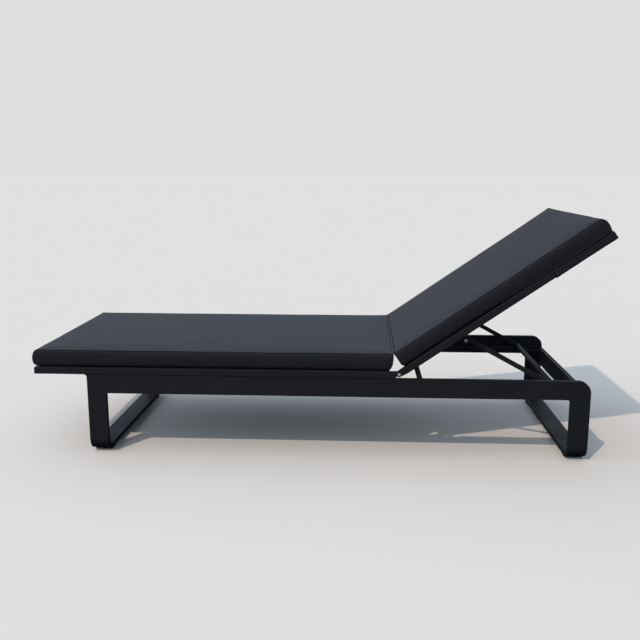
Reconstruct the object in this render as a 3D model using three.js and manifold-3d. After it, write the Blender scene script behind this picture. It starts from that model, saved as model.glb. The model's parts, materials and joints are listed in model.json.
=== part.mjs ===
// Reclining sun lounger in black powder-coated aluminium, with a seat cushion and a back cushion.
// Units are millimetres and +Z is up. The head end points along +X. The left side is -Y.
// The back is modelled propped up at its lowest raised notch.

import * as THREE from 'three';
import { mergeVertices } from 'three/addons/utils/BufferGeometryUtils.js';
import Module from 'manifold-3d';

// ---- Driving dimensions -------------------------------------------------------------------

const GAP = 0.3; // clearance between pieces that touch
const HALF_WIDTH = 350; // lounger's half width, outer faces of the rails
const FLAT_WIDTH = 62.5; // wide side of the flat tube that the underframe is made of
const FLAT_THICKNESS = 16; // narrow side of the same tube
const WALL = 2; // wall of every tube

const RAIL_LENGTH = 1641; // side rail, from foot leg to head leg
const RAIL_TOP = 271;
const HEAD_CORNER_RADIUS = 40; // rounded upper corner at the head end of each rail
const PAD = { length: 60, width: 30, height: 7.2, inset: 45 };
const LEG_BEND_RADIUS = 42; // outer radius where a leg turns into its skid
const CROSS_BAR_TOP = 227;

const DECK_THICKNESS = 22;
const DECK_BOTTOM = 272;
const MEMBER_WIDTH = 60; // flat tubes round the edge of both decks
const SLAT = { width: 60, thickness: 5 };
const SEAT_DECK = { start: -176, end: 999, slats: 7 };
const BACK_DECK = { start: 27, end: 795, slats: 5, bottom: -12 };

const HINGE = { x: 1028, z: 285.5 };
const BACK_ANGLE = THREE.MathUtils.degToRad(34.8); // recline at rest, from flat
const LUG = { radius: 8.5, thickness: 8, cheek: 5.4, innerFace: 336, shankEnd: 1019 };
const HINGE_PIN_RADIUS = 3.9;
const PIN_HOLE_RADIUS = 4.35;

const PROP_PIVOT = { s: 236.8, n: -38.4 }; // along and square to the back, from the hinge
const PROP_TUBE = { x: 1535, radius: 9.5, halfLength: 324.5 };
const PROP_ARM = { width: 16, thickness: 5, innerFace: 288, rise: 7, shoulder: 14 };
const TAB = { width: 34, thickness: 5, radius: 11 };
const BOLT = { headRadius: 6.5, headHeight: 4 };

const TRACK = { start: 1150, top: 230.4, width: 38.7, dipStart: 1537, dipEnd: 1592, dip: 10 };
const RACK = { start: 1352, end: 1556, height: 22, thickness: 8, notchRadius: 10.5 };
const RACK_NOTCHES = [1381, 1441, 1492, PROP_TUBE.x];
const RACK_SCREWS = [1411, 1513];
const RACK_SCREW = { radius: 4, height: 3 };

const GUIDE_ARM = { s: 59, width: 18, thickness: 4.5, lean: 9.7 / 30.4, tip: -70 };

const SEAT_CUSHION = { start: -178, end: 1011, thickness: 57 };
const BACK_CUSHION = { start: 26, end: 797, thickness: 53, cutAlong: 74, cutUp: 34.5 };
const CUSHION_LIFT = 0.5; // cushion above its deck
const POCKET = { start: 578, wall: 2.2 };

const CURVE_SEGMENTS = 8;
const ROUND_SEGMENTS = 24;

// ---- Materials ----------------------------------------------------------------------------

const finishes = {
  powderCoat: { color: 0x1e1f22, roughness: 0.55, metalness: 0.2 },
  fabric: { color: 0x383a40, roughness: 0.95, metalness: 0 },
  rubber: { color: 0x0c0c0d, roughness: 0.8, metalness: 0 },
  steel: { color: 0xb8babc, roughness: 0.3, metalness: 1 },
};

// ---- Booleans -----------------------------------------------------------------------------

const wasm = await Module();
wasm.setup();

function toSolid(geometry) {
  const bare = geometry.clone();
  bare.deleteAttribute('normal');
  bare.deleteAttribute('uv');
  const merged = mergeVertices(bare, 1e-4);
  return new wasm.Manifold(
    new wasm.Mesh({
      numProp: 3,
      vertProperties: new Float32Array(merged.attributes.position.array),
      triVerts: new Uint32Array(merged.index.array),
    }),
  );
}

function toGeometry(solid) {
  const mesh = solid.getMesh();
  const geometry = new THREE.BufferGeometry();
  geometry.setAttribute('position', new THREE.BufferAttribute(new Float32Array(mesh.vertProperties), 3));
  geometry.setIndex(new THREE.BufferAttribute(new Uint32Array(mesh.triVerts), 1));
  geometry.computeVertexNormals();
  return geometry;
}

function subtract(geometry, ...cutters) {
  return toGeometry(cutters.reduce((solid, cutter) => solid.subtract(toSolid(cutter)), toSolid(geometry)));
}

function unite(geometry, ...others) {
  return toGeometry(others.reduce((solid, other) => solid.add(toSolid(other)), toSolid(geometry)));
}

// ---- Geometry helpers ---------------------------------------------------------------------

// A box between two corners.
function block(x0, x1, y0, y1, z0, z1) {
  const geometry = new THREE.BoxGeometry(x1 - x0, y1 - y0, z1 - z0);
  return geometry.translate((x0 + x1) / 2, (y0 + y1) / 2, (z0 + z1) / 2);
}

// The points of a path in the wanted direction, without those where a line meets the next arc.
function orderedPoints(path, clockwise) {
  const points = path.getPoints(CURVE_SEGMENTS);
  const distinct = points.filter((point, i) => point.distanceTo(points.at(i - 1)) > 1e-6);
  return THREE.ShapeUtils.isClockWise(distinct) === clockwise ? distinct : distinct.reverse();
}

function extrude(shape, depth) {
  const outline = new THREE.Shape(orderedPoints(shape, false));
  outline.holes = shape.holes.map((hole) => new THREE.Path(orderedPoints(hole, true)));
  return new THREE.ExtrudeGeometry(outline, { depth, bevelEnabled: false });
}

// An outline in X and Z, given its thickness along Y.
function alongY(shape, y0, y1) {
  return extrude(shape, y1 - y0).rotateX(Math.PI / 2).translate(0, y1, 0);
}

// An outline in Y and Z, given its thickness along X.
function alongX(shape, x0, x1) {
  const turn = new THREE.Matrix4().set(0, 0, 1, 0, 1, 0, 0, 0, 0, 1, 0, 0, 0, 0, 0, 1);
  return extrude(shape, x1 - x0).applyMatrix4(turn).translate(x0, 0, 0);
}

// A round bar along Y.
function barAlongY(radius, x, z, y0, y1) {
  const geometry = new THREE.CylinderGeometry(radius, radius, y1 - y0, ROUND_SEGMENTS);
  return geometry.translate(x, (y0 + y1) / 2, z);
}

// A rectangular tube, open at both ends of the named axis.
function rectangularTube(axis, x0, x1, y0, y1, z0, z1) {
  const past = { x: 0, y: 0, z: 0, [axis]: 2 * WALL };
  const inner = block(
    x0 + WALL - past.x, x1 - WALL + past.x,
    y0 + WALL - past.y, y1 - WALL + past.y,
    z0 + WALL - past.z, z1 - WALL + past.z,
  );
  return subtract(block(x0, x1, y0, y1, z0, z1), inner);
}

// A rectangle whose corners have their own radii, from the lower left one anticlockwise.
function roundedOutline(x0, x1, z0, z1, radii) {
  const [lowerLeft, lowerRight, upperRight, upperLeft] = radii;
  const quarter = Math.PI / 2;
  const shape = new THREE.Shape();
  shape.moveTo(x0 + lowerLeft, z0);
  shape.lineTo(x1 - lowerRight, z0);
  shape.absarc(x1 - lowerRight, z0 + lowerRight, lowerRight, -quarter, 0, false);
  shape.lineTo(x1, z1 - upperRight);
  shape.absarc(x1 - upperRight, z1 - upperRight, upperRight, 0, quarter, false);
  shape.lineTo(x0 + upperLeft, z1);
  shape.absarc(x0 + upperLeft, z1 - upperLeft, upperLeft, quarter, 2 * quarter, false);
  shape.lineTo(x0, z0 + lowerLeft);
  shape.absarc(x0 + lowerLeft, z0 + lowerLeft, lowerLeft, 2 * quarter, 3 * quarter, false);
  return shape;
}

// An outline from a list of points.
function polygon(points) {
  return new THREE.Shape(points.map(([x, z]) => new THREE.Vector2(x, z)));
}

function circularHole(x, z, radius) {
  return new THREE.Path().absarc(x, z, radius, 0, 2 * Math.PI, true);
}

function piece(group, name, geometry, finish) {
  const mesh = new THREE.Mesh(geometry, new THREE.MeshStandardMaterial(finishes[finish]));
  mesh.name = name;
  group.add(mesh);
}

// The two sides, with the sign of their Y.
const SIDES = [['left', -1], ['right', 1]];

// The Y span between two distances from the middle plane, on the side with this sign.
function span(sign, inner, outer) {
  return sign < 0 ? [-outer, -inner] : [inner, outer];
}

// ---- Underframe ---------------------------------------------------------------------------

const railBottom = RAIL_TOP - FLAT_WIDTH;
const railInner = HALF_WIDTH - FLAT_THICKNESS;
const skidBottom = PAD.height + GAP;
const skidTop = skidBottom + FLAT_THICKNESS;
const bendStart = HALF_WIDTH - LEG_BEND_RADIUS;
const legStarts = { foot: 0, head: RAIL_LENGTH - FLAT_WIDTH };

// A flat tube on edge, with its upper head-end corner rounded, open below where the legs meet it.
function sideRail(sign) {
  const [y0, y1] = span(sign, railInner, HALF_WIDTH);
  const outer = roundedOutline(0, RAIL_LENGTH, railBottom, RAIL_TOP, [0.5, 0.5, HEAD_CORNER_RADIUS, 5]);
  const inner = roundedOutline(
    WALL, RAIL_LENGTH - WALL, railBottom + WALL, RAIL_TOP - WALL,
    [0.5, 0.5, HEAD_CORNER_RADIUS - WALL, 3],
  );
  const windows = Object.values(legStarts).map((x) => block(
    x + WALL, x + FLAT_WIDTH - WALL, y0 + WALL, y1 - WALL, railBottom - WALL, railBottom + 2 * WALL,
  ));
  return subtract(alongY(outer, y0, y1), alongY(inner, y0 + WALL, y1 - WALL), ...windows);
}

// A leg's outline in Y and Z: straight down, then a quarter bend inwards.
function legOutline(sign, inset, topZ, endY) {
  const centreZ = skidBottom + LEG_BEND_RADIUS;
  const outerRadius = LEG_BEND_RADIUS - inset;
  const innerRadius = LEG_BEND_RADIUS - FLAT_THICKNESS + inset;
  const corners = [[HALF_WIDTH - inset, topZ]];
  for (let i = 0; i <= CURVE_SEGMENTS; i++) {
    const angle = (i / CURVE_SEGMENTS) * (Math.PI / 2);
    corners.push([bendStart + outerRadius * Math.cos(angle), centreZ - outerRadius * Math.sin(angle)]);
  }
  corners.push([endY, centreZ - outerRadius], [endY, centreZ - innerRadius]);
  for (let i = CURVE_SEGMENTS; i >= 0; i--) {
    const angle = (i / CURVE_SEGMENTS) * (Math.PI / 2);
    corners.push([bendStart + innerRadius * Math.cos(angle), centreZ - innerRadius * Math.sin(angle)]);
  }
  corners.push([railInner + inset, topZ]);
  return polygon(corners.map(([y, z]) => [sign * y, z]));
}

function leg(sign, x0) {
  const top = railBottom - GAP;
  const outer = alongX(legOutline(sign, 0, top, bendStart - 1), x0, x0 + FLAT_WIDTH);
  const inner = alongX(legOutline(sign, WALL, top + WALL, bendStart - 4), x0 + WALL, x0 + FLAT_WIDTH - WALL);
  return subtract(outer, inner);
}

function footPad(sign, x0) {
  const middle = x0 + FLAT_WIDTH / 2;
  const outline = roundedOutline(middle - PAD.length / 2, middle + PAD.length / 2, 0, PAD.height, [2, 2, 1, 1]);
  return alongY(outline, ...span(sign, HALF_WIDTH - PAD.inset - PAD.width, HALF_WIDTH - PAD.inset));
}

// The ledge inside each rail that the prop's tube slides on, as far as the cross bar at the head end.
// It dips past the last notch, where the tube swings lower as the back comes down flat.
function track(sign) {
  const bottom = railBottom + GAP;
  const end = RAIL_LENGTH - FLAT_THICKNESS - GAP;
  const [y0, y1] = span(sign, railInner - GAP - TRACK.width, railInner - GAP);
  const outline = polygon([
    [TRACK.start, bottom], [end, bottom], [end, TRACK.top - TRACK.dip],
    [TRACK.dipEnd, TRACK.top - TRACK.dip], [TRACK.dipStart, TRACK.top], [TRACK.start, TRACK.top],
  ]);
  const inner = block(
    TRACK.start - WALL, TRACK.dipStart, y0 + WALL, y1 - WALL, bottom + WALL, TRACK.top - WALL,
  );
  return subtract(alongY(outline, y0, y1), inner);
}

// A toothed plate on the track. Each notch is open above and leans towards the head end.
function rack(sign) {
  const bottom = TRACK.top + GAP;
  const [y0, y1] = span(sign, railInner - GAP - RACK.thickness, railInner - GAP);
  const plate = alongY(roundedOutline(RACK.start, RACK.end, bottom, bottom + RACK.height, [0.5, 0.5, 6, 6]), y0, y1);
  const seat = TRACK.top + PROP_TUBE.radius;
  const cutters = RACK_NOTCHES.map((x) => {
    const round = barAlongY(RACK.notchRadius, x, seat + 1.5, y0 - 1, y1 + 1);
    const mouth = polygon([
      [x - RACK.notchRadius, seat], [x + RACK.notchRadius, seat],
      [x + RACK.notchRadius - 9, seat + 20], [x - RACK.notchRadius - 9, seat + 20],
    ]);
    return unite(round, alongY(mouth, y0 - 1, y1 + 1));
  });
  return subtract(plate, ...cutters);
}

// A domed screw head against the inner face of the rack, with its neck let into the plate.
function rackScrew(sign, x) {
  const profile = [
    new THREE.Vector2(0, 0), new THREE.Vector2(RACK_SCREW.radius, 0),
    new THREE.Vector2(RACK_SCREW.radius * 0.85, RACK_SCREW.height * 0.6), new THREE.Vector2(0, RACK_SCREW.height),
  ];
  const face = railInner - GAP - RACK.thickness - GAP;
  const head = new THREE.LatheGeometry(profile, ROUND_SEGMENTS / 2);
  return head.rotateX(sign < 0 ? 0 : Math.PI).translate(x, sign * face, TRACK.top + RACK.height - 8);
}

function addUnderframe(group) {
  for (const [side, sign] of SIDES) {
    piece(group, `side_rail_${side}`, sideRail(sign), 'powderCoat');
    piece(group, `prop_track_${side}`, track(sign), 'powderCoat');
    piece(group, `prop_rack_${side}`, rack(sign), 'powderCoat');
    RACK_SCREWS.forEach((x, i) => piece(group, `rack_screw_${side}_${i + 1}`, rackScrew(sign, x), 'powderCoat'));
    for (const [end, x0] of Object.entries(legStarts)) {
      piece(group, `leg_${end}_${side}`, leg(sign, x0), 'powderCoat');
      piece(group, `foot_pad_${end}_${side}`, footPad(sign, x0), 'rubber');
    }
  }
  for (const [end, x0] of Object.entries(legStarts)) {
    const halfLength = bendStart - 1 - GAP;
    const bar = rectangularTube('y', x0, x0 + FLAT_WIDTH, -halfLength, halfLength, skidBottom, skidTop);
    piece(group, `skid_bar_${end}`, bar, 'powderCoat');
  }
  const crossBar = rectangularTube(
    'y', RAIL_LENGTH - FLAT_THICKNESS, RAIL_LENGTH,
    GAP - railInner, railInner - GAP, CROSS_BAR_TOP - FLAT_WIDTH, CROSS_BAR_TOP,
  );
  piece(group, 'head_cross_bar', crossBar, 'powderCoat');
}

// ---- Decks --------------------------------------------------------------------------------

// A flat frame of two side members, two end members and evenly spaced slats.
function addDeck(group, name, deck, bottom) {
  const top = bottom + DECK_THICKNESS;
  const inner = HALF_WIDTH - MEMBER_WIDTH;
  for (const [side, sign] of SIDES) {
    const member = rectangularTube('x', deck.start, deck.end, ...span(sign, inner, HALF_WIDTH), bottom, top);
    piece(group, `${name}_side_member_${side}`, member, 'powderCoat');
  }
  const halfLength = inner - GAP;
  const ends = { first: deck.start, last: deck.end - MEMBER_WIDTH };
  for (const [end, x0] of Object.entries(ends)) {
    const member = rectangularTube('y', x0, x0 + MEMBER_WIDTH, -halfLength, halfLength, bottom, top);
    piece(group, `${name}_end_member_${end}`, member, 'powderCoat');
  }
  const clear = deck.end - deck.start - 2 * MEMBER_WIDTH;
  const space = (clear - deck.slats * SLAT.width) / (deck.slats + 1);
  for (let i = 0; i < deck.slats; i++) {
    const x0 = deck.start + MEMBER_WIDTH + space + i * (SLAT.width + space);
    const slat = block(x0, x0 + SLAT.width, -halfLength, halfLength, top - SLAT.thickness, top);
    piece(group, `${name}_slat_${i + 1}`, slat, 'powderCoat');
  }
}

// ---- Hinges -------------------------------------------------------------------------------

// A round-ended ear in X and Z, from its pivot at (x, z) to a straight root edge, with a hole.
function earOutline(x, z, radius, rootX, rootLow, rootHigh) {
  const facing = Math.sign(rootX - x);
  const shape = new THREE.Shape();
  shape.moveTo(rootX, rootLow);
  shape.lineTo(x, z - radius);
  shape.absarc(x, z, radius, -Math.PI / 2, Math.PI / 2, facing > 0);
  shape.lineTo(rootX, rootHigh);
  shape.closePath();
  shape.holes.push(circularHole(x, z, PIN_HOLE_RADIUS));
  return shape;
}

// A bracket on the end of the seat's side member: a shank of the member's height, then a round ear.
function seatLug(sign) {
  const root = SEAT_DECK.end + GAP;
  const { radius, shankEnd, innerFace, thickness } = LUG;
  const ear = earOutline(HINGE.x, HINGE.z, radius, shankEnd - 1, HINGE.z - radius, HINGE.z + radius);
  const shank = block(
    root, shankEnd, ...span(sign, innerFace, HALF_WIDTH), DECK_BOTTOM, DECK_BOTTOM + DECK_THICKNESS,
  );
  return unite(shank, alongY(ear, ...span(sign, innerFace, innerFace + thickness)));
}

// Two cheeks on a base plate, one on each side of the seat's lug, in the back's own coordinates.
function backFork(sign) {
  const root = BACK_DECK.start - GAP;
  const [low, high] = [BACK_DECK.bottom, BACK_DECK.bottom + DECK_THICKNESS];
  const outline = earOutline(0, 0, LUG.radius, root, low, high);
  const innerCheek = LUG.innerFace - GAP;
  const outerCheek = LUG.innerFace + LUG.thickness + GAP;
  const cheeks = [[innerCheek - LUG.cheek, innerCheek], [outerCheek, outerCheek + LUG.cheek]];
  const base = block(root - 2.2, root, ...span(sign, cheeks[0][0], cheeks[1][1]), low, high);
  return unite(base, ...cheeks.map(([inner, outer]) => alongY(outline, ...span(sign, inner, outer))));
}

// Stands proud of the cheeks by a low round head on the outside and a clip on the inside.
function hingePin(sign) {
  const innerEnd = LUG.innerFace - 2 * GAP - LUG.cheek;
  const outerEnd = LUG.innerFace + LUG.thickness + LUG.cheek + 2 * GAP;
  const shank = barAlongY(HINGE_PIN_RADIUS, HINGE.x, HINGE.z, ...span(sign, innerEnd - 1, outerEnd + 1));
  const head = barAlongY(HINGE_PIN_RADIUS + 1, HINGE.x, HINGE.z, ...span(sign, outerEnd, outerEnd + 1.4));
  const clip = barAlongY(HINGE_PIN_RADIUS + 1.6, HINGE.x, HINGE.z, ...span(sign, innerEnd - 1.2, innerEnd));
  return unite(shank, head, clip);
}

// ---- Prop ---------------------------------------------------------------------------------

const tabInner = PROP_ARM.innerFace + PROP_ARM.thickness + GAP;

// The ear under the back that each prop arm is bolted to, in the back's own coordinates.
function propTab(sign) {
  const root = BACK_DECK.bottom - GAP;
  const { s, n } = PROP_PIVOT;
  const shape = new THREE.Shape();
  shape.moveTo(s - TAB.width / 2, root);
  shape.lineTo(s - TAB.radius, n);
  shape.absarc(s, n, TAB.radius, Math.PI, 2 * Math.PI, false);
  shape.lineTo(s + TAB.width / 2, root);
  shape.closePath();
  shape.holes.push(circularHole(s, n, PIN_HOLE_RADIUS));
  return alongY(shape, ...span(sign, tabInner, tabInner + TAB.thickness));
}

// A shank through the tab and the arm, with a domed head outside and a nut inside.
function propBolt(sign) {
  const tabOuter = tabInner + TAB.thickness + GAP;
  const armInner = PROP_ARM.innerFace - GAP;
  const profile = [
    [0, armInner - 6], [HINGE_PIN_RADIUS, armInner - 6], [HINGE_PIN_RADIUS, armInner - 4.5],
    [BOLT.headRadius, armInner - 4.5], [BOLT.headRadius, armInner], [HINGE_PIN_RADIUS, armInner],
    [HINGE_PIN_RADIUS, tabOuter], [BOLT.headRadius, tabOuter], [BOLT.headRadius, tabOuter + 1.6],
    [BOLT.headRadius * 0.8, tabOuter + 0.8 * BOLT.headHeight], [0, tabOuter + BOLT.headHeight],
  ];
  const geometry = new THREE.LatheGeometry(profile.map(([r, y]) => new THREE.Vector2(r, y)), ROUND_SEGMENTS);
  if (sign < 0) geometry.rotateX(Math.PI);
  return geometry.translate(PROP_PIVOT.s, 0, PROP_PIVOT.n);
}

// A flat bar that hangs inside the rail and keeps the back centred as it comes down.
function guideArm(sign) {
  const root = BACK_DECK.bottom - GAP;
  const half = GUIDE_ARM.width / 2;
  const tipCentre = GUIDE_ARM.s + GUIDE_ARM.lean * (GUIDE_ARM.tip + half - root);
  const shape = new THREE.Shape();
  shape.moveTo(GUIDE_ARM.s + half, root);
  shape.lineTo(GUIDE_ARM.s - half, root);
  shape.lineTo(tipCentre - half, GUIDE_ARM.tip + half);
  shape.absarc(tipCentre, GUIDE_ARM.tip + half, half, Math.PI, 2 * Math.PI, false);
  shape.closePath();
  const outer = railInner - 1;
  return alongY(shape, ...span(sign, outer - GUIDE_ARM.thickness, outer));
}

// The prop hangs from its pivot. Its own X runs from the pivot to the middle of its tube.
// The middle line of each arm starts a little above the pivot and meets the middle of the tube.
function addProp(group, length) {
  const half = PROP_ARM.width / 2;
  const end = length - PROP_TUBE.radius - GAP;
  const middle = (x) => PROP_ARM.rise * (1 - x / length);
  const shape = new THREE.Shape();
  shape.moveTo(0, PROP_ARM.rise + half);
  shape.absarc(0, PROP_ARM.rise / 2, half + PROP_ARM.rise / 2, Math.PI / 2, 1.5 * Math.PI, false);
  shape.lineTo(PROP_ARM.shoulder, middle(PROP_ARM.shoulder) - half);
  shape.lineTo(end, middle(end) - half);
  shape.lineTo(end, middle(end) + half);
  shape.closePath();
  shape.holes.push(circularHole(0, 0, PIN_HOLE_RADIUS));
  for (const [side, sign] of SIDES) {
    const ends = span(sign, PROP_ARM.innerFace, PROP_ARM.innerFace + PROP_ARM.thickness);
    piece(group, `prop_arm_${side}`, alongY(shape, ...ends), 'powderCoat');
  }
  const { radius, halfLength } = PROP_TUBE;
  const bore = barAlongY(radius - WALL, length, 0, -halfLength - 1, halfLength + 1);
  piece(group, 'prop_tube', subtract(barAlongY(radius, length, 0, -halfLength, halfLength), bore), 'powderCoat');
}

// ---- Cushions -----------------------------------------------------------------------------

function seatCushion() {
  const bottom = DECK_BOTTOM + DECK_THICKNESS + CUSHION_LIFT;
  const outline = roundedOutline(
    SEAT_CUSHION.start, SEAT_CUSHION.end, bottom, bottom + SEAT_CUSHION.thickness, [20, 28, 9, 24],
  );
  return alongY(outline, -HALF_WIDTH, HALF_WIDTH);
}

// Its upper hinge-end corner is cut back, where the foam gives way when the back is upright.
function backCushion() {
  const bottom = BACK_DECK.bottom + DECK_THICKNESS + CUSHION_LIFT;
  const { start, end, thickness, cutAlong, cutUp } = BACK_CUSHION;
  const top = bottom + thickness;
  const shape = new THREE.Shape();
  shape.moveTo(start, bottom);
  shape.lineTo(end - 16, bottom);
  shape.absarc(end - 16, bottom + 16, 16, -Math.PI / 2, 0, false);
  shape.absarc(end - 18, top - 18, 18, 0, Math.PI / 2, false);
  shape.lineTo(start + cutAlong, top);
  shape.lineTo(start, top - cutUp);
  shape.closePath();
  return alongY(shape, -HALF_WIDTH, HALF_WIDTH);
}

// The cushion's fabric pocket, slipped over the head end of the back. The cushion closes its top.
function headPocket() {
  const outerY = HALF_WIDTH + GAP + POCKET.wall;
  const bottom = BACK_DECK.bottom - GAP;
  const top = BACK_DECK.bottom + DECK_THICKNESS + CUSHION_LIFT - GAP;
  const end = BACK_DECK.end + GAP;
  const outer = block(POCKET.start, end + POCKET.wall, -outerY, outerY, bottom - POCKET.wall, top);
  const inner = block(POCKET.start - 1, end, -HALF_WIDTH - GAP, HALF_WIDTH + GAP, bottom, top + 1);
  return subtract(outer, inner);
}

// ---- Assembly -----------------------------------------------------------------------------

const lounger = new THREE.Group();

addUnderframe(lounger);
addDeck(lounger, 'seat', SEAT_DECK, DECK_BOTTOM);
piece(lounger, 'seat_cushion', seatCushion(), 'fabric');

const back = new THREE.Group();
back.position.set(HINGE.x, 0, HINGE.z);
back.rotation.y = -BACK_ANGLE;
addDeck(back, 'back', BACK_DECK, BACK_DECK.bottom);
piece(back, 'back_cushion', backCushion(), 'fabric');
piece(back, 'head_pocket', headPocket(), 'fabric');
lounger.add(back);

for (const [side, sign] of SIDES) {
  piece(lounger, `hinge_lug_${side}`, seatLug(sign), 'powderCoat');
  piece(lounger, `hinge_pin_${side}`, hingePin(sign), 'steel');
  piece(back, `hinge_fork_${side}`, backFork(sign), 'powderCoat');
  piece(back, `prop_tab_${side}`, propTab(sign), 'powderCoat');
  piece(back, `prop_bolt_${side}`, propBolt(sign), 'steel');
  piece(back, `guide_arm_${side}`, guideArm(sign), 'powderCoat');
}

// The prop reaches from its pivot on the back to its tube, which lies on the tracks.
back.updateMatrix();
const pivot = new THREE.Vector3(PROP_PIVOT.s, 0, PROP_PIVOT.n).applyMatrix4(back.matrix);
const tube = new THREE.Vector3(PROP_TUBE.x, 0, TRACK.top + GAP + PROP_TUBE.radius);
const prop = new THREE.Group();
prop.position.copy(pivot);
prop.rotation.y = Math.atan2(pivot.z - tube.z, tube.x - pivot.x);
addProp(prop, pivot.distanceTo(tube));
lounger.add(prop);

// The origin is on the floor, under the middle of the lounger's length.
const bounds = new THREE.Box3().setFromObject(lounger);
lounger.position.x = -(bounds.min.x + bounds.max.x) / 2;
const assembly = new THREE.Group();
assembly.add(lounger);

export default assembly;
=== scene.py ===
"""The looks of a reclining sun lounger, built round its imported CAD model. Everything is in metres."""

import json
import math

import bmesh
import bpy
from mathutils import Matrix, Vector, noise


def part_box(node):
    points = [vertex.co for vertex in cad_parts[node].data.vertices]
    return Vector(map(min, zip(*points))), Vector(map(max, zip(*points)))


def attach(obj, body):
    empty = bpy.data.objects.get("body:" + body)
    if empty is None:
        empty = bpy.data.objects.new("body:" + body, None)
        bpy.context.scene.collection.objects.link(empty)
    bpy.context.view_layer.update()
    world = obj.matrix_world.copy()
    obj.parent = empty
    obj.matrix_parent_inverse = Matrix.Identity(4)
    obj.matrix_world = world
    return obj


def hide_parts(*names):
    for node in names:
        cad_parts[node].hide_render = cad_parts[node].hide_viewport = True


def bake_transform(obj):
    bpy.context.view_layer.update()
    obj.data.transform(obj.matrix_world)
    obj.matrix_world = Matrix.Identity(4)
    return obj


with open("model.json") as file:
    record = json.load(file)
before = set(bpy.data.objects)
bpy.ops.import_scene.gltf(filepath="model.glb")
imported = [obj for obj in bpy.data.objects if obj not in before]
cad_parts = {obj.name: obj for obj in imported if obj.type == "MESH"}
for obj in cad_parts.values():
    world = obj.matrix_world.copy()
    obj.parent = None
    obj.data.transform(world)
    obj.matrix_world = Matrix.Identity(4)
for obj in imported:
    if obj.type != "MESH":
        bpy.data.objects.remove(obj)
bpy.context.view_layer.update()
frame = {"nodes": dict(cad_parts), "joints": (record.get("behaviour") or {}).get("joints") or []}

# ---- What the frame gives -------------------------------------------------------------------

SIDES = (("left", -1), ("right", 1))
MM = 0.001

recline = next(j for j in frame["joints"] if j["name"] == "back_recline")
swing = next(j for j in frame["joints"] if j["name"] == "prop_swing")
HINGE = Vector(recline["pos_m"])
PIVOT = Vector(swing["pos_m"])
BACK_ANGLE = -math.radians(recline["range_deg"][0])
BACK = Matrix.Translation(HINGE) @ Matrix.Rotation(-BACK_ANGLE, 4, "Y")


def local_box(node, matrix=Matrix.Identity(4)):
    """The lowest and highest corner of a CAD node in the space of a matrix."""
    inverse = matrix.inverted()
    corners = [inverse @ v.co for v in frame["nodes"][node].data.vertices]
    return Vector(map(min, zip(*corners))), Vector(map(max, zip(*corners)))


tube_low, tube_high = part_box("prop_tube")
TUBE = (tube_low + tube_high) / 2
prop_run = TUBE - PIVOT
PROP_ANGLE = math.atan2(-prop_run.z, prop_run.x)
PROP = Matrix.Translation(PIVOT) @ Matrix.Rotation(PROP_ANGLE, 4, "Y")

# ---- Node helpers ---------------------------------------------------------------------------


class Shader:
    """A material with a Principled shader, and short ways to add and join nodes."""

    def __init__(self, name, **sockets):
        self.material = bpy.data.materials.new(name)
        self.material.use_nodes = True
        self.tree = self.material.node_tree
        self.surface = self.tree.nodes["Principled BSDF"]
        for socket, value in sockets.items():
            self.surface.inputs[socket.replace("_", " ")].default_value = value

    def add(self, kind, inputs=(), **settings):
        node = self.tree.nodes.new(kind)
        for setting, value in settings.items():
            setattr(node, setting, value)
        for socket, value in dict(inputs).items():
            self.feed(node.inputs[socket], value)
        return node

    def feed(self, socket, value):
        if isinstance(value, bpy.types.NodeSocket):
            self.tree.links.new(value, socket)
        else:
            socket.default_value = value

    def math(self, operation, a, b=0.0):
        node = self.add("ShaderNodeMath", {0: a, 1: b}, operation=operation)
        return node.outputs[0]

    def place(self, source, scale):
        """Texture coordinates stretched by a scale on each axis."""
        node = self.add("ShaderNodeMapping", {"Vector": source, "Scale": scale})
        return node.outputs[0]

    def noise(self, place, scale, detail=3.0, roughness=0.55):
        node = self.add("ShaderNodeTexNoise", {
            "Vector": place, "Scale": scale, "Detail": detail, "Roughness": roughness,
        })
        return node.outputs["Fac"]

    def steps(self, value, *stops):
        """A colour ramp from (position, grey or colour) stops."""
        node = self.add("ShaderNodeValToRGB", {"Fac": value})
        ramp = node.color_ramp
        while len(ramp.elements) < len(stops):
            ramp.elements.new(0.5)
        for element, (position, colour) in zip(ramp.elements, stops):
            element.position = position
            element.color = (*colour, 1) if hasattr(colour, "__len__") else (colour, colour, colour, 1)
        return node.outputs["Color"]

    def mix(self, factor, a, b):
        node = self.add("ShaderNodeMix", data_type="RGBA")
        for socket, value in zip((node.inputs[0], node.inputs[6], node.inputs[7]), (factor, a, b)):
            self.feed(socket, value)
        return node.outputs[2]

    def bump(self, height, strength, distance, under=None):
        node = self.add("ShaderNodeBump", {"Height": height, "Strength": strength, "Distance": distance})
        if under is not None:
            self.feed(node.inputs["Normal"], under)
        return node.outputs[0]

    def colour(self, value):
        self.feed(self.surface.inputs["Base Color"], value)

    def roughness(self, value):
        self.feed(self.surface.inputs["Roughness"], value)

    def normal(self, value):
        self.feed(self.surface.inputs["Normal"], value)


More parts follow.
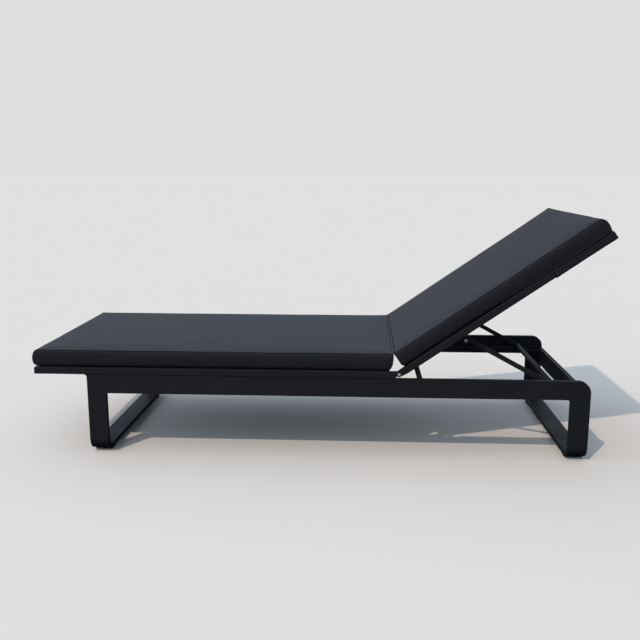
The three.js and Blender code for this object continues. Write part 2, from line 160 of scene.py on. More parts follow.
def powder_coat():
    """Matt black powder coat: a fine, even texture, with the sharpest edges rubbed a little lighter."""
    s = Shader("powder_coat", Specular_IOR_Level=0.22)
    place = s.add("ShaderNodeTexCoord").outputs["Object"]
    grain = s.noise(place, 1300.0, 2.0, 0.7)
    orange_peel = s.noise(place, 330.0, 2.0)
    dust = s.noise(place, 2.2, 2.0)
    scuffs = s.noise(s.place(place, (14, 90, 90)), 1.0, 3.0, 0.7)
    edge = s.steps(s.add("ShaderNodeNewGeometry").outputs["Pointiness"], (0.53, 0.0), (0.6, 1.0))
    wear = s.math("MULTIPLY", edge, s.steps(scuffs, (0.5, 0.0), (0.7, 1.0)))
    dusty = s.steps(dust, (0.3, 0.0), (0.7, 1.0))
    base = s.mix(dusty, (0.0108, 0.0115, 0.0150, 1), (0.0118, 0.0125, 0.0160, 1))
    speck = s.mix(s.steps(grain, (0.35, 0.0), (0.7, 0.6)), base, (0.022, 0.023, 0.028, 1))
    s.colour(s.mix(s.math("MULTIPLY", wear, 0.25), speck, (0.034, 0.036, 0.042, 1)))
    s.roughness(s.steps(orange_peel, (0.3, 0.52), (0.7, 0.6)))
    s.normal(s.bump(grain, 0.16, 0.0004, s.bump(orange_peel, 0.1, 0.0008)))
    return s.material


def woven(s, place, across, along):
    """The height of a plain weave whose threads lie at these pitches, 0 to 1."""
    split = s.add("ShaderNodeSeparateXYZ", {0: place})
    warp = s.math("SINE", s.math("MULTIPLY", split.outputs[1], 2 * math.pi / across))
    weft = s.math("SINE", s.math("MULTIPLY", split.outputs[0], 2 * math.pi / along))
    crossing = s.math("MULTIPLY", warp, weft)
    return s.math("MULTIPLY_ADD", crossing, 0.5)


STITCH_ROW = 4.2 * MM  # from the seam to each row of stitches
STITCH_WIDTH = 1.2 * MM
STITCHES_PER_METRE = 230.0
SEAM_SHADOW = 3 * MM


def outdoor_fabric():
    """Charcoal woven acrylic: a fine plain weave of mixed dark yarns, with slubs, stitching, and seams
    pressed in and darkened with painted shade.
    """
    s = Shader("outdoor_fabric", Specular_IOR_Level=0.1, Sheen_Roughness=0.45)
    s.surface.inputs["Sheen Tint"].default_value = (0.92, 0.92, 0.98, 1)
    cover = s.add("ShaderNodeUVMap", uv_map="cover").outputs[0]
    seam = s.add("ShaderNodeSeparateXYZ", {0: s.add("ShaderNodeUVMap", uv_map="seam").outputs[0]})
    yarn_height = woven(s, cover, 1.7 * MM, 1.3 * MM)
    slub_x = s.noise(s.place(cover, (30, 560, 1)), 1.0, 3.0, 0.65)
    slub_y = s.noise(s.place(cover, (560, 40, 1)), 1.0, 3.0, 0.65)
    fleck = s.noise(s.place(cover, (300, 380, 1)), 1.0, 3.0, 0.75)
    patch = s.noise(s.place(cover, (3.2, 7.0, 1)), 1.0, 4.0, 0.6)
    streak = s.noise(s.place(cover, (3.0, 48, 1)), 1.0, 4.0, 0.7)
    thread = s.math("ADD", s.math("MULTIPLY", slub_x, 0.5), s.math("MULTIPLY", slub_y, 0.5))
    shade = s.math("ADD", s.math("MULTIPLY", thread, 0.3), s.math("MULTIPLY", fleck, 0.62))
    shade = s.math("ADD", shade, s.math("MULTIPLY", streak, 0.08))
    dark, light = (0.0049, 0.0050, 0.0073, 1), (0.0308, 0.0306, 0.0412, 1)
    yarn = s.mix(s.steps(shade, (0.4, 0.0), (0.6, 1.0)), dark, light)
    fading = s.math("MULTIPLY", s.steps(patch, (0.35, 0.0), (0.75, 1.0)), 0.2)
    faded = s.mix(fading, yarn, (0.0255, 0.0263, 0.034, 1))
    # Two rows of stitches, one on each side of every seam, and the shadow in the seam itself.
    distance, run = seam.outputs[0], seam.outputs[1]
    row = s.math("COMPARE", distance, STITCH_ROW)
    row.node.inputs[2].default_value = STITCH_WIDTH / 2
    dash = s.math("GREATER_THAN", s.math("FRACT", s.math("MULTIPLY", run, STITCHES_PER_METRE)), 0.36)
    stitch = s.math("MULTIPLY", row, dash)
    # crease is 1 at a seam and 0 from SEAM_SHADOW away: it presses the seam in and paints shade into it.
    crease = s.steps(s.math("MULTIPLY", distance, 1 / SEAM_SHADOW), (0.0, 1.0), (1.0, 0.0))
    sewn = s.mix(stitch, faded, (0.05, 0.052, 0.058, 1))
    s.colour(s.mix(s.math("MULTIPLY", crease, 0.85), sewn, (0.004, 0.0042, 0.005, 1)))
    s.roughness(s.steps(shade, (0.3, 0.95), (0.7, 0.82)))
    # The fibres' sheen varies with the yarns, and is taken out in the seams as part of their painted shade.
    fuzz = s.steps(shade, (0.42, 0.105), (0.58, 0.225))
    in_the_open = s.steps(crease, (0.0, 1.0), (0.7, 0.0))
    s.feed(s.surface.inputs["Sheen Weight"], s.math("MULTIPLY", fuzz, in_the_open))
    weave = s.bump(yarn_height, 0.35, 0.0003)
    slubs = s.bump(thread, 0.4, 0.0006, weave)
    s.normal(s.bump(s.math("SUBTRACT", stitch, crease), 0.5, 0.0008, slubs))
    return s.material


def moulded_rubber():
    """Black rubber with a dusty bloom and a fine pebbled skin."""
    s = Shader("moulded_rubber", Specular_IOR_Level=0.25)
    place = s.add("ShaderNodeTexCoord").outputs["Object"]
    bloom = s.noise(place, 60.0, 4.0)
    dusty = s.steps(bloom, (0.4, 0.0), (0.75, 1.0))
    s.colour(s.mix(dusty, (0.0045, 0.0045, 0.005, 1), (0.012, 0.012, 0.012, 1)))
    s.roughness(s.steps(bloom, (0.3, 0.75), (0.7, 0.9)))
    s.normal(s.bump(s.noise(place, 1500.0, 2.0), 0.3, 0.0003))
    return s.material


def satin_steel():
    """Satin stainless steel with fine turning marks and a few dull spots."""
    s = Shader("satin_steel", Metallic=0.6)
    place = s.add("ShaderNodeTexCoord").outputs["Object"]
    turned = s.noise(s.place(place, (300, 4000, 300)), 1.0, 2.0)
    spots = s.noise(place, 400.0, 3.0)
    s.colour(s.mix(s.steps(spots, (0.45, 0.0), (0.8, 1.0)), (0.66, 0.66, 0.65, 1), (0.42, 0.41, 0.4, 1)))
    s.roughness(s.steps(turned, (0.3, 0.34), (0.7, 0.5)))
    s.normal(s.bump(turned, 0.1, 0.0002))
    return s.material


def moulded_plastic():
    """Black plastic of the tube plugs and washers."""
    s = Shader("moulded_plastic", Specular_IOR_Level=0.35)
    place = s.add("ShaderNodeTexCoord").outputs["Object"]
    grain = s.noise(place, 700.0, 2.0)
    s.colour(s.mix(grain, (0.006, 0.006, 0.0068, 1), (0.0105, 0.0105, 0.0115, 1)))
    s.roughness(s.steps(grain, (0.3, 0.4), (0.7, 0.55)))
    s.normal(s.bump(grain, 0.15, 0.0003))
    return s.material


COAT = powder_coat()
FABRIC = outdoor_fabric()
RUBBER = moulded_rubber()
STEEL = satin_steel()
PLASTIC = moulded_plastic()

# ---- Mesh helpers ---------------------------------------------------------------------------


def new_object(name, bm, material):
    bmesh.ops.recalc_face_normals(bm, faces=bm.faces)
    mesh = bpy.data.meshes.new(name)
    bm.to_mesh(mesh)
    bm.free()
    mesh.materials.append(material)
    obj = bpy.data.objects.new(name, mesh)
    bpy.context.scene.collection.objects.link(obj)
    return obj


def soften(obj, width, segments=3, weighted=False):
    """Rounds the edges of an object, and shades it so that its flat faces stay flat."""
    obj.data.shade_smooth()
    bevel = obj.modifiers.new("rounded_edges", "BEVEL")
    bevel.width = width
    bevel.segments = segments
    bevel.limit_method = "WEIGHT" if weighted else "ANGLE"
    bevel.angle_limit = math.radians(35)
    normals = obj.modifiers.new("flat_faces", "WEIGHTED_NORMAL")
    normals.weight = 100


def finish_piece(obj, body, nodes=(), matrix=None):
    """Puts a piece on its body, in place of its CAD nodes."""
    if matrix is not None:
        obj.matrix_world = matrix
    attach(obj, body)
    if nodes:
        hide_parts(*nodes)
    return obj


def arc(x, z, radius, start, end, steps=10):
    """Points of an arc, from one angle in degrees to another."""
    turns = [math.radians(start + (end - start) * i / steps) for i in range(steps + 1)]
    return [(x + radius * math.cos(a), z + radius * math.sin(a)) for a in turns]


def extruded(outline, y_from, y_to, holes=()):
    """A flat shape in X and Z, with its thickness along Y."""
    bm = bmesh.new()
    edges = []
    for loop in (outline, *holes):
        verts = [bm.verts.new((x, y_from, z)) for x, z in loop]
        edges += [bm.edges.new(pair) for pair in zip(verts, verts[1:] + verts[:1])]
    if holes:
        bmesh.ops.triangle_fill(bm, edges=edges, use_beauty=True)
    else:
        bm.faces.new([v for v in bm.verts])
    grown = bmesh.ops.extrude_face_region(bm, geom=bm.faces[:])
    moved = [v for v in grown["geom"] if isinstance(v, bmesh.types.BMVert)]
    bmesh.ops.translate(bm, verts=moved, vec=(0, y_to - y_from, 0))
    return bm


def bar(low, high):
    """A straight bar between two corners."""
    (x0, y0, z0), (x1, y1, z1) = low, high
    return extruded([(x0, z0), (x1, z0), (x1, z1), (x0, z1)], y0, y1)


def skinned(rings):
    """A skin over rings of the same number of points, closed at both ends."""
    bm = bmesh.new()
    loops = [[bm.verts.new(p) for p in ring] for ring in rings]
    for a, b in zip(loops, loops[1:]):
        for i in range(len(a)):
            j = (i + 1) % len(a)
            bm.faces.new((a[i], a[j], b[j], b[i]))
    bm.faces.new(loops[0][::-1])
    bm.faces.new(loops[-1])
    return bm


def ring(y, radius, count=48, sides=0):
    """A ring of points round Y: a circle, or a polygon with this many sides whose flats are at the radius."""
    points = []
    for i in range(count):
        angle = 2 * math.pi * i / count
        r = radius
        if sides:
            wedge = 2 * math.pi / sides
            r = radius / math.cos((angle + wedge / 2) % wedge - wedge / 2)
        points.append((r * math.cos(angle), y, r * math.sin(angle)))
    return points


def span(sign, inner, outer):
    """The Y range between two distances from the middle plane, on one side."""
    return (inner, outer) if sign > 0 else (-outer, -inner)


# ---- Underframe -----------------------------------------------------------------------------

rail_low, rail_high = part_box("side_rail_left")
leg_low, leg_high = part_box("leg_foot_left")
OUTER_Y = -rail_low.y
INNER_Y = -rail_high.y
TUBE_WIDTH = leg_high.x - leg_low.x
HEAD_CORNER = 40 * MM
HEAD_INNER_CORNER = 11 * MM
FOOT_FILLET = 8 * MM
BEND_RADIUS = 42 * MM


def side_frame(side, sign):
    """One rail and its two legs: a single flat tube face, with each leg turning inwards at the floor."""
    bend_z = leg_low.z + BEND_RADIUS
    x0, x1, top, bottom = rail_low.x, rail_high.x, rail_high.z, rail_low.z
    inner, r = HEAD_INNER_CORNER, HEAD_CORNER
    outline = [(x0, bend_z), (x0 + TUBE_WIDTH, bend_z), (x0 + TUBE_WIDTH, bottom)]
    outline += arc(x1 - TUBE_WIDTH - inner, bottom - inner, inner, 90, 0, 6)
    outline += [(x1 - TUBE_WIDTH, bend_z), (x1, bend_z)]
    outline += arc(x1 - r, top - r, r, 0, 90, 14)
    outline += arc(x0 - FOOT_FILLET, top - FOOT_FILLET, FOOT_FILLET, 90, 0, 6)
    bm = extruded(outline, sign * INNER_Y, sign * OUTER_Y)
    cuts = []
    for start in (x0, x1 - TUBE_WIDTH):
        face = min(
            (f for f in bm.faces if len(f.verts) == 4 and f.calc_center_median().z < bend_z + 1e-5),
            key=lambda f: abs(f.calc_center_median().x - start - TUBE_WIDTH / 2),
        )
        centre = Vector((0, sign * (OUTER_Y - BEND_RADIUS), bend_z))
        steps = 12
        turn = Matrix.Rotation(-sign * math.radians(90 / steps), 3, "X")
        for _ in range(steps):
            grown = bmesh.ops.extrude_face_region(bm, geom=[face])["geom"]
            bmesh.ops.rotate(
                bm, cent=centre, matrix=turn, verts=[v for v in grown if isinstance(v, bmesh.types.BMVert)],
            )
            bmesh.ops.delete(bm, geom=[face], context="FACES_ONLY")
            face = next(g for g in grown if isinstance(g, bmesh.types.BMFace))
        cuts.append(face)
    bmesh.ops.recalc_face_normals(bm, faces=bm.faces)
    butt = {e for f in cuts for e in f.edges}
    weight_edges(bm, butt)
    obj = new_object(f"side_frame_{side}", bm, COAT)
    soften(obj, 1.3 * MM, weighted=True)
    return finish_piece(obj, "frame", [f"side_rail_{side}", f"leg_foot_{side}", f"leg_head_{side}"])


def weight_edges(bm, plain=()):
    """Marks the sharp edges to be rounded, apart from those where two tubes butt together."""
    layer = bm.edges.layers.float.new("bevel_weight_edge")
    for e in bm.edges:
        if e not in plain and len(e.link_faces) == 2 and e.calc_face_angle() > math.radians(35):
            e[layer] = 1.0


def skid_bar(end):
    """The flat bar on the floor between the bends of two legs."""
    low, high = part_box(f"skid_bar_{end}")
    half = OUTER_Y - BEND_RADIUS
    bm = bar((low.x, -half, low.z), (high.x, half, high.z))
    weight_edges(bm, {e for f in bm.faces if abs(f.calc_center_median().y) > half - 1e-5 for e in f.edges})
    obj = new_object(f"skid_bar_{end}_tube", bm, COAT)
    soften(obj, 1.3 * MM, weighted=True)
    return finish_piece(obj, "frame", [f"skid_bar_{end}"])


def tube_piece(name, node, body, matrix=None, edge=1.2 * MM, grow=0.0):
    """A straight flat tube or bar in place of a CAD node, with rounded edges and welded ends."""
    low, high = local_box(node, matrix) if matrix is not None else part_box(node)
    low, high = low - Vector((0, grow, 0)), high + Vector((0, grow, 0))
    obj = new_object(name, bar(low, high), COAT)
    soften(obj, edge)
    return finish_piece(obj, body, [node], matrix)


def foot_pad(end, side):
    """A rubber pad with three grooves across its sole edge, held by a skid."""
    low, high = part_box(f"foot_pad_{end}_{side}")
    groove, count = 1.2 * MM, 5
    outline = [(low.x, low.z + groove)]
    pitch = (high.x - low.x) / count
    for i in range(count):
        a, b = low.x + i * pitch, low.x + (i + 1) * pitch
        outline += [(a + 1.5 * MM, low.z), (b - 1.5 * MM, low.z)]
        if i < count - 1:
            outline += [(b - 0.5 * MM, low.z + groove), (b + 0.5 * MM, low.z + groove)]
    outline += [(high.x, low.z + groove), (high.x, high.z), (low.x, high.z)]
    obj = new_object(f"pad_{end}_{side}", extruded(outline, low.y, high.y), RUBBER)
    soften(obj, 0.5 * MM, 2)
    return finish_piece(obj, "frame", [f"foot_pad_{end}_{side}"])


for side, sign in SIDES:
    side_frame(side, sign)
    for end in ("foot", "head"):
        foot_pad(end, side)
for end in ("foot", "head"):
    skid_bar(end)
tube_piece("head_cross_tube", "head_cross_bar", "frame", edge=1.3 * MM, grow=0.3 * MM)

# ---- Decks ----------------------------------------------------------------------------------

deck_bodies = {"seat": ("frame", None), "back": ("back", BACK)}
for deck, (body, matrix) in deck_bodies.items():
    members = tuple(f"{deck}_{kind}" for kind in ("side", "end", "slat"))
    for node in sorted(n for n in frame["nodes"] if n.startswith(members)):
        edge = 1.0 * MM if "slat" in node else 1.4 * MM
        weld_gap = 0 if "side" in node else 0.3 * MM
        tube_piece(f"{node}_tube", node, body, matrix, edge=edge, grow=weld_gap)

# ---- Prop track, rack and their screws ------------------------------------------------------


def carried_over(node, width, material=COAT):
    """A CAD node that stays, with its edges rounded and a finished material."""
    obj = frame["nodes"][node]
    obj.data.materials.clear()
    obj.data.materials.append(material)
    weld = obj.modifiers.new("weld", "WELD")
    weld.merge_threshold = 0.00001
    soften(obj, width, 2)


for side, _ in SIDES:
    carried_over(f"prop_track_{side}", 0.5 * MM)
    carried_over(f"prop_rack_{side}", 0.5 * MM)


def rack_screw(side, sign, number):
    """A button-head screw with a hexagon socket, on the inner face of a rack."""
    node = f"rack_screw_{side}_{number}"
    low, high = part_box(node)
    radius, height = (high.x - low.x) / 2, high.y - low.y
    rings = [
        ring(0, radius), ring(height * 0.35, radius * 0.98), ring(height * 0.75, radius * 0.8),
        ring(height, radius * 0.56), ring(height * 0.97, radius * 0.46, sides=6),
        ring(height * 0.3, radius * 0.45, sides=6),
    ]
    obj = new_object(f"{node}_head", skinned(rings), COAT)
    obj.data.shade_smooth()
    obj.data.set_sharp_from_angle(angle=math.radians(35))
    face = high.y if sign > 0 else low.y
    turn = Matrix.Rotation(math.pi if sign > 0 else 0, 4, "Z")
    place = Matrix.Translation(((low.x + high.x) / 2, face, (low.z + high.z) / 2)) @ turn
    return finish_piece(obj, "frame", [node], place)


for side, sign in SIDES:
    for number in (1, 2):
        rack_screw(side, sign, number)

# ---- Hinges, tabs, guide arms and the prop --------------------------------------------------

PIN_HOLE = 4.3 * MM
EAR_INNER = 336 * MM  # from the middle plane to the inner face of a hinge lug's ear
EAR_THICKNESS = 8 * MM
EAR_GAP = 0.3 * MM
FORK_BASE = 2.2 * MM
ARM_SHOULDER = 14 * MM  # from the pivot to where the prop arm's straight edges start
GUIDE_ARM_WIDTH = 18 * MM


def hole(x, z, radius=PIN_HOLE):
    """The outline of a round hole."""
    return arc(x, z, radius, 0, 360 - 360 / 32, 31)


def plate(name, outline, y_range, body, nodes, matrix=None, holes=(), edge=0.6 * MM):
    """A flat plate on edge, with its holes, in place of CAD nodes."""
    obj = new_object(name, extruded(outline, *y_range, holes), COAT)
    soften(obj, edge, 2)
    return finish_piece(obj, body, nodes, matrix)


def ear(x, z, radius, root, low, high):
    """A round-ended ear, from its pivot to a straight root edge between two heights."""
    if root > x:
        return arc(x, z, radius, 270, 90, 20) + [(root, high), (root, low)]
    return arc(x, z, radius, -90, 90, 20) + [(root, high), (root, low)]


def united(name, parts):
    """One painted object from overlapping solids."""
    whole, *others = [new_object(f"{name}_{i}", part, COAT) for i, part in enumerate(parts)]
    for other in others:
        join = whole.modifiers.new("join", "BOOLEAN")
        join.operation, join.object = "UNION", other
    apply_modifiers(whole)
    for other in others:
        bpy.data.objects.remove(other)
    whole.name = whole.data.name = name
    return whole


def apply_modifiers(obj):
    """Makes the evaluated shape the object's own mesh."""
    shaped = bpy.data.meshes.new_from_object(obj.evaluated_get(bpy.context.evaluated_depsgraph_get()))
    obj.modifiers.clear()
    old, obj.data = obj.data, shaped
    shaped.name = obj.name
    bpy.data.meshes.remove(old)


def hinge(side, sign):
    """A lug on a shank at the seat's end, between the two cheeks of a fork at the back's end."""
    low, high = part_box(f"hinge_lug_{side}")
    radius = high.x - HINGE.x
    shank_end, overlap = HINGE.x - radius - 0.5 * MM, 4 * MM
    ear_y = span(sign, EAR_INNER, EAR_INNER + EAR_THICKNESS)
    shank = bar(low, (shank_end, high.y, high.z))
    outline = ear(HINGE.x, HINGE.z, radius, shank_end - overlap, HINGE.z - radius, HINGE.z + radius)
    lug = extruded(outline, *ear_y, [hole(HINGE.x, HINGE.z)])
    obj = united(f"hinge_lug_{side}_bracket", [shank, lug])
    soften(obj, 0.5 * MM, 2)
    finish_piece(obj, "frame", [f"hinge_lug_{side}"])

    low, high = local_box(f"hinge_fork_{side}", BACK)
    outline = ear(0, 0, radius, high.x, low.z, high.z)
    cheeks = [
        extruded(outline, low.y, ear_y[0] - EAR_GAP, [hole(0, 0)]),
        extruded(outline, ear_y[1] + EAR_GAP, high.y, [hole(0, 0)]),
    ]
    base = bar((high.x - FORK_BASE, low.y, low.z), high)
    obj = united(f"hinge_fork_{side}_cheeks", [base, *cheeks])
    soften(obj, 0.5 * MM, 2)
    finish_piece(obj, "back", [f"hinge_fork_{side}"], BACK)


def lathe_piece(name, rings, material, body, nodes, place):
    """A turned piece, skinned over rings round Y."""
    obj = new_object(name, skinned(rings), material)
    obj.data.shade_smooth()
    obj.data.set_sharp_from_angle(angle=math.radians(35))
    return finish_piece(obj, body, nodes, place)


def hinge_pin(side, sign):
    """A rivet through a hinge, with a flat head outside and a spring clip inside."""
    low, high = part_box(f"hinge_pin_{side}")
    half = (high.y - low.y) / 2
    shank, head, clip = 3.9 * MM, 4.9 * MM, 5.4 * MM
    rings = [
        ring(-half, clip * 0.7), ring(-half + 0.3 * MM, clip), ring(-half + 1.1 * MM, clip),
        ring(-half + 1.2 * MM, shank), ring(half - 1.4 * MM, shank), ring(half - 1.35 * MM, head),
        ring(half - 0.5 * MM, head), ring(half - 0.1 * MM, head * 0.8), ring(half, head * 0.45),
    ]
    turn = Matrix.Rotation(0 if sign > 0 else math.pi, 4, "Z")
    place = Matrix.Translation((HINGE.x, (low.y + high.y) / 2, HINGE.z)) @ turn
    lathe_piece(f"hinge_pin_{side}_rivet", rings, STEEL, "frame", [f"hinge_pin_{side}"], place)


def prop_tab(side):
    """A tab under the back, rounded about its bolt."""
    low, high = local_box(f"prop_tab_{side}", BACK)
    bolt_low, bolt_high = local_box(f"prop_bolt_{side}", BACK)
    s, n = (bolt_low.x + bolt_high.x) / 2, (bolt_low.z + bolt_high.z) / 2
    radius = n - low.z
    outline = arc(s, n, radius, 180, 360, 20) + [(high.x, high.z), (low.x, high.z)]
    y_range = (low.y, high.y)
    plate(f"prop_tab_{side}_plate", outline, y_range, "back", [f"prop_tab_{side}"], BACK, [hole(s, n)])


def prop_bolt(side, sign):
    """A dome-headed bolt, with a hexagon nut inside."""
    low, high = local_box(f"prop_bolt_{side}", BACK)
    half, head = (high.y - low.y) / 2, (high.x - low.x) / 2
    shank, nut = 3.9 * MM, 5.6 * MM
    rings = [
        ring(-half, shank * 0.8), ring(-half + 0.5 * MM, shank), ring(-half + 1.5 * MM, shank),
        ring(-half + 1.5 * MM, nut * 0.93, sides=6), ring(-half + 2.0 * MM, nut, sides=6),
        ring(-half + 5.6 * MM, nut, sides=6), ring(-half + 6.0 * MM, nut * 0.93, sides=6),
        ring(-half + 6.0 * MM, shank), ring(half - 4.0 * MM, shank), ring(half - 4.0 * MM, head * 0.97),
        ring(half - 3.4 * MM, head), ring(half - 2.2 * MM, head * 0.97), ring(half - 1.1 * MM, head * 0.85),
        ring(half - 0.35 * MM, head * 0.66), ring(half - 0.08 * MM, head * 0.4), ring(half, head * 0.15),
    ]
    turn = Matrix.Rotation(0 if sign > 0 else math.pi, 4, "Z")
    place = BACK @ Matrix.Translation((low + high) / 2) @ turn
    lathe_piece(f"prop_bolt_{side}_dome_head", rings, STEEL, "back", [f"prop_bolt_{side}"], place)


def guide_arm(side):
    """A flat bar with a round tip. It leans towards the hinge, so its root is at its head end."""
    low, high = local_box(f"guide_arm_{side}", BACK)
    half = GUIDE_ARM_WIDTH / 2
    outline = [(high.x, high.z), (high.x - 2 * half, high.z)]
    outline += arc(low.x + half, low.z + half, half, 180, 360, 16)
    plate(f"guide_arm_{side}_plate", outline, (low.y, high.y), "back", [f"guide_arm_{side}"], BACK)


def prop_arm(side):
    """A flat bar whose middle line starts a little above the pivot and meets the middle of the tube."""
    low, high = local_box(f"prop_arm_{side}", PROP)
    half = -low.z
    rise = high.z - half
    end = high.x + 0.3 * MM
    lower = [(x, rise * (1 - x / prop_run.length) - half) for x in (ARM_SHOULDER, end)]
    outline = arc(0, rise / 2, half + rise / 2, 90, 270, 20) + lower
    outline.append((end, lower[-1][1] + 2 * half))
    plate(
        f"prop_arm_{side}_bar", outline, (low.y, high.y), "prop", [f"prop_arm_{side}"], PROP,
        [hole(0, 0)], 0.9 * MM,
    )


def prop_tube():
    """The round cross tube, with a plastic plug in each end."""
    radius, half = (tube_high.z - tube_low.z) / 2, tube_high.y
    rounding = ((0, 1.2 * MM), (0.25 * MM, 0.3 * MM), (0.7 * MM, 0))
    rings = [ring(-half + along, radius - down) for along, down in rounding]
    rings += [ring(half - along, radius - down) for along, down in reversed(rounding)]
    lathe_piece("prop_cross_tube", rings, COAT, "prop", ["prop_tube"], Matrix.Translation(TUBE))
    for side, sign in SIDES:
        cap = radius - 1.6 * MM
        plug = [
            ring(-3 * MM, cap), ring(0.2 * MM, cap), ring(0.6 * MM, cap - 0.6 * MM),
            ring(0.8 * MM, cap - 1.6 * MM), ring(0.8 * MM, cap - 4 * MM),
        ]
        turn = Matrix.Rotation(0 if sign > 0 else math.pi, 4, "Z")
        place = Matrix.Translation((TUBE.x, sign * half, TUBE.z)) @ turn
        lathe_piece(f"prop_tube_plug_{side}", plug, PLASTIC, "prop", [], place)


for side, sign in SIDES:
    hinge(side, sign)
    hinge_pin(side, sign)
    prop_tab(side)
    prop_bolt(side, sign)
    guide_arm(side)
    prop_arm(side)
prop_tube()

# ---- Cushions -------------------------------------------------------------------------------


def graded(length, fine=(0, 1.6, 4.2, 8, 13, 20, 29), step=11):
    """Distances along a side in metres, close together near both ends."""
    lead = [f * MM for f in fine]
    count = max(1, round((length - 2 * lead[-1]) / (step * MM)))
    middle = [lead[-1] + (length - 2 * lead[-1]) * i / count for i in range(1, count)]
    return lead + middle + [length - f for f in reversed(lead)]


def box_skin(xs, ys, zs, lead=0.0):
    """A closed box of quads whose grid lines are given.

    The layer cover unrolls its panels in metres. The layer seam holds the distance from the nearest seam, and
    the way along it. The top panel's seam at the first end runs at the distance lead from that end.
    """
    bm = bmesh.new()
    verts = {}

    def vert(i, j, k):
        if (i, j, k) not in verts:
            verts[i, j, k] = bm.verts.new((xs[i], ys[j], zs[k]))
        return verts[i, j, k]

    panels = []

    def quad(panel, *places):
        panels.append((panel, [vert(*place) for place in places]))

    nx, ny, nz = len(xs) - 1, len(ys) - 1, len(zs) - 1
    for i in range(nx):
        for j in range(ny):
            for k, panel in ((0, "bottom"), (nz, "top")):
                quad(panel, (i, j, k), (i + 1, j, k), (i + 1, j + 1, k), (i, j + 1, k))
    for i in range(nx):
        for k in range(nz):
            for j in (0, ny):
                quad("side", (i, j, k), (i + 1, j, k), (i + 1, j, k + 1), (i, j, k + 1))
    for j in range(ny):
        for k in range(nz):
            for i in (0, nx):
                quad("end", (i, j, k), (i, j + 1, k), (i, j + 1, k + 1), (i, j, k + 1))
    cover = bm.loops.layers.uv.new("cover")
    seam = bm.loops.layers.uv.new("seam")
    length, width, height = xs[-1], ys[-1], zs[-1]
    for panel, corners in panels:
        face = bm.faces.new(corners)
        for loop in face.loops:
            x, y, z = loop.vert.co
            if panel in ("top", "bottom"):
                near_x, near_y = min(abs(x - lead), length - x), min(y, width - y)
                loop[cover].uv = (x, y)
                loop[seam].uv = (near_x, y) if near_x < near_y else (near_y, x)
            elif panel == "side":
                loop[cover].uv = (x, z + width)
                loop[seam].uv = (min(z, height - z), x)
            else:
                loop[cover].uv = (z + length, y)
                loop[seam].uv = (min(z, height - z), y)
    bmesh.ops.recalc_face_normals(bm, faces=bm.faces)
    return bm


def rounded_corner(x, y, length, width, radius):
    """Moves a point of a rectangle so that the rectangle's corners become round."""
    cx = radius if x < radius else length - radius if x > length - radius else x
    cy = radius if y < radius else width - radius if y > width - radius else y
    dx, dy = x - cx, y - cy
    far = math.hypot(dx, dy)
    if dx == 0 or dy == 0 or far == 0:
        return x, y
    shrink = max(abs(dx), abs(dy)) / far
    return cx + dx * shrink, cy + dy * shrink


def bowed(t, widest, top, bottom):
    """How far a boxing panel stands in from its widest line, at a height t from 0 to 1.

    top and bottom are how far its two edges stand in.
    """
    if t > widest:
        return top * ((t - widest) / (1 - widest)) ** 3
    return bottom * ((widest - t) / widest) ** 2


CROWN = 2.5 * MM  # how far the top seam lies below the middle of the top
CROWN_EDGE = 14 * MM
SIDE_BOW = (0.5, 7 * MM, 4 * MM)  # as bowed() takes it
SIDE_PULL = 2.5 * MM  # how far the middle of a side is pulled in between its corners
END_PULL = 2.0 * MM
TUCK = (6 * MM, 4 * MM)  # how far the lower seam is pulled under, and over what height
LIFT = (4 * MM, 9 * MM)  # how far the lower seam stands off the deck, and over what width
LIP_HEIGHT = 4 * MM  # the lip of the back cushion's hinge end, down its end
LIP_WIDTH = 8 * MM  # and from its end to the seam behind it
GROOVE_WIDTH = 2 * MM
LEVELS = (0, 0.035, 0.1, 0.2, 0.34, 0.5, 0.66, 0.8, 0.9, 0.965, 1)  # rows of points up the boxing
CORNER = 16 * MM
LIP_CORNER = 6 * MM
SNUG = 0.85  # how much of the lower seam's tuck and lift is gone where it lies close
NOWHERE = (9.0, 10.0)  # metres, past the end of any cushion
SETTLE_FRAMES = 20


def smooth(t):
    """A smooth step from 0 to 1."""
    t = min(1, max(0, t))
    return t * t * (3 - 2 * t)


def pull(along):
    """How much of its pull a side shows, from 0 at its corners to 1 along its middle."""
    return 1 - (2 * along - 1) ** 6


def cushion(low, high, ends, lip, snug):
    """A foam slab in a sewn cover. Each end is (widest height, inset at top, inset at bottom).

    lip is how far the first end's upper seam stands proud of it. Past the distances in snug, the lower seam
    lies closer to the deck.
    """
    length, width, height = high - low
    bm = box_skin(
        graded(length), graded(width), [height * level for level in LEVELS], LIP_WIDTH if lip else 0,
    )
    for v in bm.verts:
        x, y, z = v.co
        t = z / height
        edge = min(x, length - x, y, width - y)
        loose = 1 - SNUG * smooth((x - snug[0]) / (snug[1] - snug[0]))
        tuck = loose * TUCK[0] * math.exp(-z / TUCK[1])
        first, last = (bowed(t, *end) + tuck + END_PULL * pull(y / width) for end in ends)
        if lip:
            first += lip * (1 - math.exp((z - height) / LIP_HEIGHT)) - END_PULL * pull(y / width)
        side = bowed(t, *SIDE_BOW) + tuck + SIDE_PULL * pull(x / length)
        x_in = first + (x / length) * (length - first - last)
        y_in = side + (y / width) * (width - 2 * side)
        radius = LIP_CORNER if lip and x < length / 2 else CORNER
        x_in, y_in = rounded_corner(x_in, y_in, length, width, radius)
        rise = CROWN * (1 - math.exp(-edge / CROWN_EDGE)) if z > height - 1e-6 else 0
        lift = loose * LIFT[0] * math.exp(-max(edge, z) / LIFT[1])
        groove = math.exp(-((x - LIP_WIDTH) / GROOVE_WIDTH) ** 2)
        ridge = lip * (math.exp(-x / LIP_WIDTH) - groove)
        v.co = (low.x + x_in, low.y + y_in, low.z + z - CROWN * t + rise + lift + ridge * t ** 4)
    return bm


